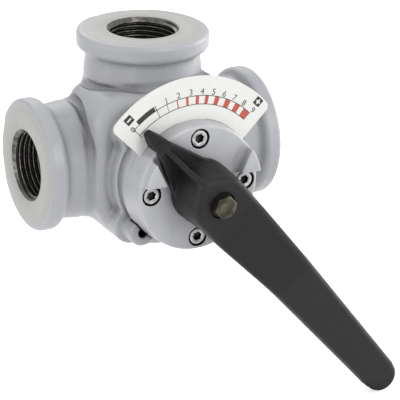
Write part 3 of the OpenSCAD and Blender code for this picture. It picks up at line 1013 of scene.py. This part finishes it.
@dataclass
class Cover(SubAssembly):
    """The front cover with its stops, and the four socket screws that hold it."""

    joint_depth: float = 43.5
    front_depth: float = 59.6
    spigot_depth: float = 36.0
    spigot_r: float = 19.95
    back_r: float = 31.4
    front_r: float = 30.4
    edge: float = 1.2
    stop_front: float = 65.6
    stop_r: float = 30.0
    stop_angle: float = 64.0
    stop_reach: float = 14.32
    stop_base: float = 5.8
    pocket_r: float = 9.52
    circle_r: float = 24.1
    counterbore_r: float = 4.78
    screw_seat: float = 54.2
    screw_r: float = 2.5
    head_h: float = 5.0
    socket: float = 4.0
    screw_end: float = 34.2
    stop_fillet: float = 2.2
    stop_root: float = 50.0
    groove_r: float = 17.6
    groove_start: float = 38.25
    groove_end: float = 41.25
    bore_r: float = 7.3
    pocket_floor: float = 41.0
    screw_gap: float = 0.25
    mouth_edge: float = 0.22
    knurl: float = 0.1
    knurls: int = 48
    socket_row: int = 12

    def stops(self, x: Array, z: Array, depth: Array) -> Array:
        """Distance to the two stops.

        Args:
            x, z, depth: Place to the right, upwards and towards the lever.

        Returns:
            Distance, negative inside.
        """
        lean = math.radians(self.stop_angle)
        wall = self.stop_reach - (np.abs(x) * math.sin(lean) - z * math.cos(lean))
        stop = blend_meet(blend_meet(wall, self.stop_base - z, 0.6), np.hypot(x, z) - self.stop_r, 0.8)
        return np.maximum(blend_meet(stop, depth - self.stop_front, 0.7), self.stop_root - depth)

    def distance(self, x: Array, y: Array, z: Array) -> Array:
        """Distance to the cover.

        Args:
            x, y, z: Place in the valve's axes.

        Returns:
            Distance, negative inside.
        """
        depth, across = -y, np.hypot(x, z)
        height = self.front_depth - self.joint_depth
        side = across - self.back_r + (depth - self.joint_depth) * (self.back_r - self.front_r) / height
        disc = blend_meet(side, depth - self.front_depth, self.edge)
        disc = blend_meet(disc, self.joint_depth - depth, 0.9)
        solid = blend_union(disc, self.stops(x, z, depth), self.stop_fillet)
        spigot = blend_meet(across - self.spigot_r, self.spigot_depth - depth, 0.8)
        solid = np.minimum(solid, np.maximum(spigot, depth - self.joint_depth - 1.0))
        groove = np.maximum(self.groove_r - across, slab(depth, self.groove_start, self.groove_end))
        solid = cut(solid, groove, across - self.bore_r)
        solid = blend_cut(solid, np.maximum(across - self.pocket_r, self.pocket_floor - depth), 0.3)
        spots = four_axes(x, z, self.circle_r)
        solid = cut(solid, spots - self.screw_r - self.screw_gap)
        counterbores = np.maximum(spots - self.counterbore_r, self.screw_seat - depth)
        return blend_cut(solid, counterbores, self.mouth_edge)

    def screw(self) -> Turning:
        """Knurled socket head screw from its end to the bottom of its socket.

        Returns:
            The screw.
        """
        top = self.screw_seat + self.head_h
        rows = [(2.1, self.screw_end), (2.5, self.screw_end + 0.8), (2.5, self.screw_seat),
                (3.9, self.screw_seat), (4.05, self.screw_seat + 0.15), (4.05, self.screw_seat + 0.5),
                (4.05, top - 0.9), (4.05, top - 0.6), (4.0, top - 0.4), (3.8, top - 0.06), (3.65, top),
                (2.75, top), (2.5, top - 0.22), (2.5, top - 2.4), (2.2, top - 2.5), (0.3, top - 3.3)]
        knurled, socketed = (5, 6), (self.socket_row, self.socket_row + 1)

        def shape(round_r: Array, ring: Array, turn: Array) -> Array:
            """Radius with the knurl on the head and the hexagon in the socket."""
            ridge = np.where(np.round(turn * 2 * self.knurls / math.tau) % 2 == 0, self.knurl, -self.knurl)
            round_r = round_r + np.where(np.isin(ring, knurled), ridge, 0.0)
            return np.where(np.isin(ring, socketed), hexagon(self.socket, turn, math.radians(45.0)), round_r)

        return lathe(rows, shape)

    def build(self) -> None:
        """Builds the cover and its screws."""
        piece = PieceMesh("cover_casting")
        pitch = 0.42
        casting = Casting((-31.4, -65.6, -31.4), (31.4, -36.0, 31.4), pitch, self.distance)
        points, quads, normals = casting.surface()
        centres = points[quads].mean(axis=1)
        # Counterbore walls below the front get the dark bore metal as painted shade
        away = four_axes(centres[:, 0], centres[:, 2], self.circle_r)
        shaded_bore = (away < self.counterbore_r + 0.1) & (-centres[:, 1] < self.front_depth - 0.15)
        piece.add(points, quads, slot=[int(b) for b in shaded_bore], normals=normals)
        self.complete(piece, (Finish.COVER_PAINT, Finish.BORE_SHADE), "cover_paint", "cover")
        screw = self.screw()
        points, faces = screw.surface()
        # Socket faces get the dark bore metal as painted shade
        socketed = self.socket_row * screw.sides
        for name, angle in (("right", 0.0), ("top", 90.0), ("left", 180.0), ("bottom", 270.0)):
            turn = math.radians(angle)
            piece = PieceMesh(f"cover_screw_{name}_turned")
            place = Place(self.circle_r * math.cos(turn), self.circle_r * math.sin(turn), 0.0)
            piece.add(place.points(points), faces, slot=[int(i >= socketed) for i in range(len(faces))])
            self.complete(piece, (Finish.SCREW, Finish.BORE_SHADE), "screw_steel", f"cover_screw_{name}")


@dataclass
class Scale(SubAssembly):
    """The scale plate and what is printed on it."""

    front: float = 51.6
    film: float = 0.04
    inner_r: float = 38.1
    outer_r: float = 42.2
    bold_r: float = 44.6
    digit_r: float = 44.0
    zero_r: float = 42.7
    digit_size: float = 4.2
    sign_size: float = 4.0
    line: float = 0.34

    def band(self, piece: PieceMesh, low_r: float, high_r: float, start: float, end: float,
             slot: int) -> None:
        """Prints a piece of a ring.

        Args:
            piece: The print.
            low_r: Inner radius.
            high_r: Outer radius.
            start: First angle in degrees.
            end: Last angle in degrees.
            slot: Ink slot.
        """
        steps = max(2, int(abs(end - start) / 1.5) + 1)
        turn = np.radians(np.linspace(start, end, steps))
        inner = np.stack([low_r * np.cos(turn), low_r * np.sin(turn)], axis=1)
        outer = np.stack([high_r * np.cos(turn), high_r * np.sin(turn)], axis=1)
        self.patch(piece, np.concatenate([inner, outer[::-1]]), slot)

    def patch(self, piece: PieceMesh, outline: Array, slot: int, angle: float = 0.0,
              centre: tuple[float, float] = (0.0, 0.0), lift: float = 0.0) -> None:
        """Prints one closed outline as a thin film.

        Args:
            piece: The print.
            outline: Plan points in order.
            slot: Ink slot.
            angle: Turn in degrees.
            centre: Plan place of the outline's origin.
            lift: How far it stands on another film.
        """
        n = len(outline)
        low = np.column_stack([outline, np.full(n, self.front - self.film)])
        high = np.column_stack([outline, np.full(n, self.front + self.film + lift)])
        ahead = np.roll(np.arange(n), -1)
        walls = [(i, int(j), int(j) + n, i + n) for i, j in zip(range(n), ahead)]
        half = n // 2
        caps = [(n + i, n + i + 1, n + n - 2 - i, n + n - 1 - i) for i in range(half - 1)]
        floor = [(n - 1 - i, n - 2 - i, i + 1, i) for i in range(half - 1)]
        place = Place(centre[0], centre[1], angle)
        points = place.points(np.concatenate([low, high]))
        faces = walls + caps + floor
        area = 0.5 * float(np.sum(outline[:, 0] * np.roll(outline[:, 1], -1)
                                  - np.roll(outline[:, 0], -1) * outline[:, 1]))
        piece.add(points, faces if area > 0.0 else [f[::-1] for f in faces], slot=slot, smooth=False)

    def digit(self, piece: PieceMesh, text: str, angle: float, radius: float) -> None:
        """Prints one number, its top pointing away from the spindle.

        Args:
            piece: The print.
            text: The number.
            angle: Its place in degrees.
            radius: Its distance from the spindle.
        """
        curve = bpy.data.curves.new("digit", "FONT")
        curve.body = text
        curve.size = self.digit_size
        curve.extrude = self.film
        curve.align_x = "CENTER"
        curve.align_y = "CENTER"
        curve.space_character = 0.9
        maker = new_object("digit", curve)
        shape = maker.evaluated_get(bpy.context.evaluated_depsgraph_get()).to_mesh()
        points = np.array([v.co[:] for v in shape.vertices]) + np.array([0.0, 0.0, self.front])
        faces = [tuple(p.vertices) for p in shape.polygons]
        turn = math.radians(angle)
        place = Place(radius * math.cos(turn), radius * math.sin(turn), angle - 90.0)
        piece.add(place.points(points), faces, slot=2, smooth=False)
        bpy.data.objects.remove(maker)
        bpy.data.curves.remove(curve)

    def sign(self, piece: PieceMesh, angle: float, radius: float, plus: bool) -> None:
        """Prints a black square with a pale plus or minus.

        Args:
            piece: The print.
            angle: Its place in degrees.
            radius: Its distance from the spindle.
            plus: True for plus.
        """
        turn = math.radians(angle)
        centre = (radius * math.cos(turn), radius * math.sin(turn))

        def box(width: float, height: float) -> Array:
            """A rectangle's corners."""
            return 0.5 * np.array([(-width, -height), (width, -height), (width, height), (-width, height)])

        self.patch(piece, box(self.sign_size, self.sign_size), 0, angle - 90.0, centre)
        bar, thick = 0.62 * self.sign_size, 0.2 * self.sign_size
        self.patch(piece, box(bar, thick), 3, angle - 90.0, centre, self.film)
        if plus:
            self.patch(piece, box(thick, bar), 3, angle - 90.0, centre, 1.2 * self.film)

    def build(self) -> None:
        """Dresses the plate and prints its scale."""
        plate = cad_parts["scale_plate"]
        self.dress(plate, Finish.PLATE_PAINT)
        soften(plate, 0.18)
        piece = PieceMesh("scale_print")
        half = self.line / 2.0
        for radius in (self.inner_r, self.outer_r):
            self.band(piece, radius - half, radius + half, 134.6, 44.9, 0)
        self.band(piece, self.outer_r, self.bold_r, 130.0, 116.5, 0)
        for low, high, angle, width in ((36.6, 43.6, 134.5, 0.42), (self.inner_r, self.bold_r, 115.7, 0.42),
                                        (self.inner_r, self.outer_r + 0.9, 108.3, 0.3),
                                        (self.inner_r, self.outer_r, 44.9, 0.4)):
            self.band(piece, low, high, angle + width / 2.0, angle - width / 2.0, 0)
        stops = ((101.4, 100.6), (94.8, 93.1), (87.8, 85.5), (81.1, 78.6), (73.9, 70.6), (65.9, 61.9),
                 (57.8, 53.8), (50.3, 45.1))
        for start, end in stops:
            self.band(piece, self.inner_r + half, self.outer_r - half, start, end, 1)
        places = (134.6, 107.8, 99.6, 91.3, 83.6, 75.8, 68.1, 60.4, 52.5, 44.2)
        for number, angle in enumerate(places):
            self.digit(piece, str(number), angle, self.digit_r if number else self.zero_r)
        self.sign(piece, 132.4, 47.8, plus=False)
        self.sign(piece, 45.2, 48.7, plus=True)
        inks = (Finish.BLACK_INK, Finish.RED_INK, Finish.DIGIT_INK, Finish.PLATE_PAINT)
        self.complete(piece, inks, "plate_paint")


def soften(piece: bpy.types.Object, width: float, limit: float = 32.0) -> None:
    """Rounds a piece's sharp edges with a bevel modifier.

    Args:
        piece: The piece.
        width: Bevel width in mm.
        limit: Edges sharper than this angle in degrees are rounded.
    """
    weld = piece.modifiers.new("Weld", "WELD")
    weld.merge_threshold = 0.002 * MM
    bevel = piece.modifiers.new("Soft edges", "BEVEL")
    bevel.width = width * MM
    bevel.segments = 2
    bevel.limit_method = "ANGLE"
    bevel.angle_limit = math.radians(limit)
    bevel.harden_normals = True
    bevel.use_clamp_overlap = True


@dataclass
class Lever(SubAssembly):
    """The plastic lever with its pointer, and the bolt and washers on the spindle."""

    body: str = "rotor"
    angle: float = -50.0
    hub_start: float = 61.2
    wing_top: float = 64.6
    hub_front: float = 82.7
    skirt_r: float = 15.9
    waist_r: float = 15.2
    nose_r: float = 14.3
    nose_half: float = 13.7
    nose_cut: float = 12.7
    root_half: float = 13.9
    mid_half: float = 11.2
    end_half: float = 8.1
    length: float = 134.0
    crank: float = 15.0
    rise: float = 2.5
    crank_start: float = 13.4
    crank_end: float = 47.4
    thick: float = 9.5
    wall: float = 2.6
    edge: float = 3.0
    tip_reach: float = 38.4
    tip_half: float = 1.6
    tip_taper: float = 19.0
    tip_top: float = 57.0
    beak_start: float = 31.7
    beak_floor: float = 53.1
    web_half: float = 1.1
    recess_r: float = 6.2
    recess_floor: float = 79.2
    square: float = 9.52
    square_end: float = 76.85
    bolt_seat: float = 82.4
    bolt_r: float = 3.0
    bolt_flats: float = 10.0
    bolt_head: float = 4.0
    bolt_length: float = 16.0
    slope_scale: float = 0.94
    hollow_start: float = 17.2
    nose_round: float = 3.5
    skirt_round: float = 2.0
    nose_lean: Triple = (-0.745, 0.667, 15.0)
    crest_drop: float = 0.6
    pointer_fillet: float = 1.3
    well: tuple[float, float] = (10.1, 12.8)
    well_top: float = 74.6
    skirt_cut: tuple[float, float] = (9.9, 62.2)
    recess_edge: float = 0.35

    def profile(self, u: Array, values: tuple[float, ...], soft: float) -> Array:
        """Reads a line of the handle with its corners eased.

        Args:
            u: Distance from the spindle along the handle.
            values: The line's value at the spindle, the two knees and the end.
            soft: How far each corner is eased.

        Returns:
            The line's value.
        """
        places = (0.0, self.crank_start, self.crank_end, self.length)
        total = np.zeros_like(u)
        for shift in (-1.0, -0.5, 0.0, 0.5, 1.0):
            total = total + np.interp(u + shift * soft, places, values)
        return total / 5.0

    def handle(self, u: Array, v: Array, w: Array) -> tuple[Array, Array]:
        """Distances to the handle's outside and to its hollow.

        Args:
            u, v, w: Place along the handle, across it and along the spindle.

        Returns:
            The two distances.
        """
        half = self.profile(u, (self.root_half, self.root_half, self.mid_half, self.end_half), 6.0)
        crest = self.hub_front + self.crank
        front = self.profile(u, (self.hub_front, self.hub_front, crest, crest + self.rise), 2.2)
        round_u = self.length - self.end_half
        straight = np.abs(v) - np.minimum(half, self.end_half + np.maximum(round_u - u, 0.0))
        end = np.hypot(np.maximum(u - round_u, 0.0), v) - self.end_half
        plan = np.where(u > round_u, end, straight)
        top = (w - front) * self.slope_scale
        under = (front - self.thick - w) * self.slope_scale
        plan = np.minimum(np.maximum(plan, -u), self.hub_plan(u, v, w))
        shell = blend_meet(blend_meet(plan, top, self.edge), under, 0.7)
        inner = blend_meet(plan + self.wall, top + self.wall, 1.2)
        return shell, np.maximum(inner, self.hollow_start - u)

    def hub_plan(self, u: Array, v: Array, w: Array) -> Array:
        """Distance to the hub's outline, round at its skirt and blunt-nosed at its front.

        Args:
            u, v, w: Place along the handle, across it and along the spindle.

        Returns:
            Distance, negative inside.
        """
        heights = (self.wing_top, self.hub_front)
        along_u, along_v, skirt_cut = self.nose_lean
        sides = np.abs(v) - np.interp(w, heights, (self.waist_r, self.nose_half))
        nose = along_u * u + along_v * np.abs(v) - np.interp(w, heights, (skirt_cut, self.nose_cut))
        skirt = np.hypot(u, v) - self.skirt_r
        return blend_meet(blend_meet(nose, sides, self.nose_round), skirt, self.skirt_round)

    def pointer(self, u: Array, v: Array, w: Array) -> Array:
        """Distance to the pointer's wings, beak and upright web.

        Args:
            u, v, w: Place along the handle, across it and along the spindle.

        Returns:
            Distance, negative inside.
        """
        taper = math.radians(self.tip_taper)
        flank = (np.abs(v) - self.tip_half) * math.cos(taper) - (self.tip_reach + u) * math.sin(taper)
        crest = self.hub_front - self.crest_drop
        rise = (crest - self.tip_top) / (self.tip_reach - self.nose_r + self.crest_drop)
        ridge = np.minimum(crest, self.tip_top + rise * (u + self.tip_reach))
        roof = np.minimum(self.wing_top, ridge - 0.2)
        plan = blend_meet(flank, -self.tip_reach - u, 0.8)
        wings = blend_meet(plan, (w - roof) * 0.85, 0.6)
        wings = np.maximum(wings, np.maximum(self.floor(u) - w, u))
        web = blend_meet(np.abs(v) - self.web_half, (w - ridge) * 0.69, 0.45)
        web = np.maximum(web, np.maximum(self.hub_start + 0.5 - w, np.maximum(u, 1.0 - self.tip_reach - u)))
        return blend_union(wings, web, 0.5)

    def floor(self, u: Array) -> Array:
        """Depth of the underside, which drops beyond the cover's edge."""
        return np.where(u < -self.beak_start, self.beak_floor, self.hub_start)

    def distance(self, u: Array, v: Array, w: Array) -> Array:
        """Distance to the lever in its own frame.

        Args:
            u, v, w: Place along the handle, across it and along the spindle.

        Returns:
            Distance, negative inside.
        """
        radial = np.hypot(u, v)
        shell, hollow = self.handle(u, v, w)
        hub = np.minimum(np.maximum(self.hub_plan(u, v, w), w - self.hub_front + 5.0), shell)
        solid = blend_union(hub, self.pointer(u, v, w), self.pointer_fillet)
        solid = np.maximum(solid, self.floor(u) - w)
        hollow = np.maximum(hollow, self.skirt_r - radial + 0.3)
        well = np.maximum(slab(radial, *self.well), w - self.well_top)
        skirt = np.maximum(radial - self.skirt_cut[0], w - self.skirt_cut[1])
        keyed = np.maximum(np.abs(u), np.abs(v)) - self.square / 2.0 - 0.05
        keyed = np.maximum(keyed, w - self.square_end)
        solid = cut(solid, hollow, well, skirt, keyed, radial - self.bolt_r - 0.05)
        return blend_cut(solid, np.maximum(radial - self.recess_r, self.recess_floor - w), self.recess_edge)

    def bolt(self) -> Turning:
        """Hexagon head bolt from its end to the top of its dished head.

        Returns:
            The bolt.
        """
        seat, top = self.bolt_seat, self.bolt_seat + self.bolt_head
        rows = [(2.5, seat - self.bolt_length), (3.0, seat - self.bolt_length + 0.6), (3.0, seat),
                (4.8, seat), (4.85, seat + 0.25)]
        shank_rows = len(rows)
        head = [(5.3, 0.27), (5.9, 0.5), (5.9, 3.3)]
        head += [(4.75 + 1.732 * fall, self.bolt_head - fall) for fall in (0.6, 0.45, 0.3, 0.15, 0.0)]
        rows += [(r, seat + h) for r, h in head]
        rows += [(4.35, top), (4.15, top - 0.08), (3.95, top - 0.32), (1.5, top - 0.35)]

        def shape(round_r: Array, ring: Array, turn: Array) -> Array:
            """Round rows, cut down to the hexagon on the head."""
            hexed = np.minimum(round_r, hexagon(self.bolt_flats, turn, math.pi / 6.0))
            return np.where(ring >= shank_rows, hexed, round_r)

        return lathe(rows, shape)

    def build(self) -> None:
        """Builds the lever and its bolt, and dresses the washers in dark metal as painted shade."""
        piece = PieceMesh("lever_moulding")
        pitch = 0.5
        casting = Casting((-38.4, -15.9, 53.1), (134.0, 15.9, 100.2), pitch, self.distance)
        points, quads, normals = casting.surface()
        place = Place(angle=self.angle)
        turn = np.array(place.matrix)[:3, :3]
        piece.add(place.points(points), quads, normals=normals @ turn.T)
        self.complete(piece, (Finish.LEVER,), "lever_plastic", "lever")
        piece = PieceMesh("lever_bolt_forged")
        points, faces = self.bolt().surface()
        piece.add(Place(angle=self.angle + 180.0).points(points), faces)
        self.complete(piece, (Finish.BOLT,), "bolt_steel", "lever_bolt", crease=28.0)
        # The washers sit in the recess and take the dark bore metal as painted shade
        for name in ("lever_washer", "lever_spring_washer"):
            self.dress(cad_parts[name], Finish.BORE_SHADE)
            soften(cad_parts[name], 0.12)


@dataclass
class Works(SubAssembly):
    """The spindle, segment, bushes and seals inside, which keep their frame shapes."""

    edge: float = 0.15

    def build(self) -> None:
        """Dresses each inner node and rounds the edges of all but the rubber seals."""
        finishes = {
            "spindle": Finish.STEEL, "segment": Finish.BRASS, "segment_pin": Finish.STEEL,
            "retaining_ring": Finish.STEEL, "rear_bush": Finish.BRONZE, "front_bush": Finish.BRONZE,
            "seal_spacer": Finish.BRONZE, "thrust_washer": Finish.BRONZE, "cover_o_ring": Finish.RUBBER,
            "spindle_o_ring_inner": Finish.RUBBER, "spindle_o_ring_outer": Finish.RUBBER,
        }
        for name, finish in finishes.items():
            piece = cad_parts[name]
            self.dress(piece, finish)
            if finish is not Finish.RUBBER:
                soften(piece, self.edge)
            log.info("%s: dressed in %s", name, finish.value.name)


# ---------------------------------------------------------------- studio


@dataclass
class Studio:
    """Floor, soft lights and camera."""

    azimuth: float = -28.39
    elevation: float = 22.27
    roll: float = 1.37
    distance: float = 0.9819
    lens: float = 182.76
    look_right: float = 0.0283
    look_up: float = -0.02597
    floor_size: float = 6.0
    floor_glow: float = 0.62
    sky: float = 0.64

    def seen(self, w: Wiring) -> bpy.types.NodeSocket:
        """Adds a mask of the rays that see the background: straight, mirrored or through something.

        Args:
            w: The material's or world's wiring.

        Returns:
            The mask's socket.
        """
        path = w.add("ShaderNodeLightPath").outputs
        indirect = w.math("ADD", path["Is Glossy Ray"], path["Is Transmission Ray"])
        return w.math("ADD", path["Is Camera Ray"], indirect, clamp=True)

    def floor(self, lowest: float) -> None:
        """Lays a pale floor under the valve.

        Args:
            lowest: Height of the valve's lowest point in metres.
        """
        half = self.floor_size / 2.0
        mesh = bpy.data.meshes.new("studio_floor")
        corners = [(-half, -half, lowest), (half, -half, lowest), (half, half, lowest), (-half, half, lowest)]
        mesh.from_pydata(corners, [], [(0, 1, 2, 3)])
        floor = new_object("studio_floor", mesh)
        material = bpy.data.materials.new("Studio floor")
        material.use_nodes = True
        w = Wiring(material.node_tree)
        seen = self.seen(w)
        glow = w.add("ShaderNodeEmission", {"Color": WHITE, "Strength": w.times(seen, self.floor_glow)})
        paint = w.add("ShaderNodeBsdfPrincipled", {"Base Color": srgb(236, 236, 236), "Roughness": 0.9})
        both = w.add("ShaderNodeAddShader", {0: glow.outputs[0], 1: paint.outputs[0]})
        w.add("ShaderNodeOutputMaterial", {"Surface": both.outputs[0]})
        mesh.materials.append(material)
        floor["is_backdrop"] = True

    def world(self) -> None:
        """Lights the surroundings softly and shows them white."""
        world = bpy.data.worlds.new("Studio")
        bpy.context.scene.world = world
        world.use_nodes = True
        w = Wiring(world.node_tree)
        level = w.add("ShaderNodeMix", {0: self.seen(w), 2: self.sky, 3: 1.0}, data_type="FLOAT").outputs[0]
        back = w.add("ShaderNodeBackground", {"Color": WHITE, "Strength": level})
        w.add("ShaderNodeOutputWorld", {"Surface": back.outputs[0]})

    def lamp(self, name: str, place: Triple, size: float, power: float) -> None:
        """Hangs a square soft light that faces the valve.

        Args:
            name: The lamp's name.
            place: Its place in metres.
            size: Its side in metres.
            power: Its power in watts.
        """
        data = bpy.data.lights.new(name, "AREA")
        data.shape = "SQUARE"
        data.size = size
        data.energy = power
        lamp = new_object(name, data)
        lamp.location = place
        lamp.rotation_mode = "QUATERNION"
        lamp.rotation_quaternion = (-Vector(place)).to_track_quat("-Z", "Y")

    def camera(self) -> None:
        """Sets up the camera."""
        a, e, r = (math.radians(v) for v in (self.azimuth, self.elevation, self.roll))
        back = Vector((math.sin(a) * math.cos(e), -math.cos(a) * math.cos(e), math.sin(e)))
        right = Vector((math.cos(a), math.sin(a), 0.0))
        up = back.cross(right)
        right, up = math.cos(r) * right + math.sin(r) * up, math.cos(r) * up - math.sin(r) * right
        data = bpy.data.cameras.new("Camera")
        data.lens = self.lens
        data.sensor_width = 36.0
        camera = new_object("Camera", data)
        eye = self.look_right * right + self.look_up * up + self.distance * back
        camera.matrix_world = Matrix.Translation(eye) @ Matrix((right, up, back)).transposed().to_4x4()
        data.clip_start, data.clip_end = 0.05, 20.0
        bpy.context.scene.camera = camera

    def build(self, lowest: float) -> None:
        """Sets up the whole studio.

        Args:
            lowest: Height of the valve's lowest point in metres.
        """
        bpy.context.scene.view_settings.view_transform = "Standard"
        self.floor(lowest - 0.001)
        self.world()
        for side, place, size, power in (
            ("Left", (-1.6, -0.2, 0.0), 1.0, 8.0),
            ("Top", (0.1, -0.3, 1.6), 0.8, 3.0),
            ("Right", (1.5, -0.1, 0.1), 1.0, 12.5),
            ("Front", (0.5, -1.4, 0.8), 0.8, 8.0),
            ("Back", (0.2, 1.3, 0.9), 0.9, 4.0),
        ):
            self.lamp(side + " light", place, size, power)
        self.camera()


def main() -> None:
    """Builds the studio and every sub-assembly."""
    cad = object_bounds()
    log.info("frame box: %s to %s", *(tuple(round(c, 4) for c in corner) for corner in cad))
    Studio().build(cad[0].z)
    for part in (Body(), Cover(), Scale(), Lever(), Works()):
        part.build()


if __name__ == "__main__":
    main()
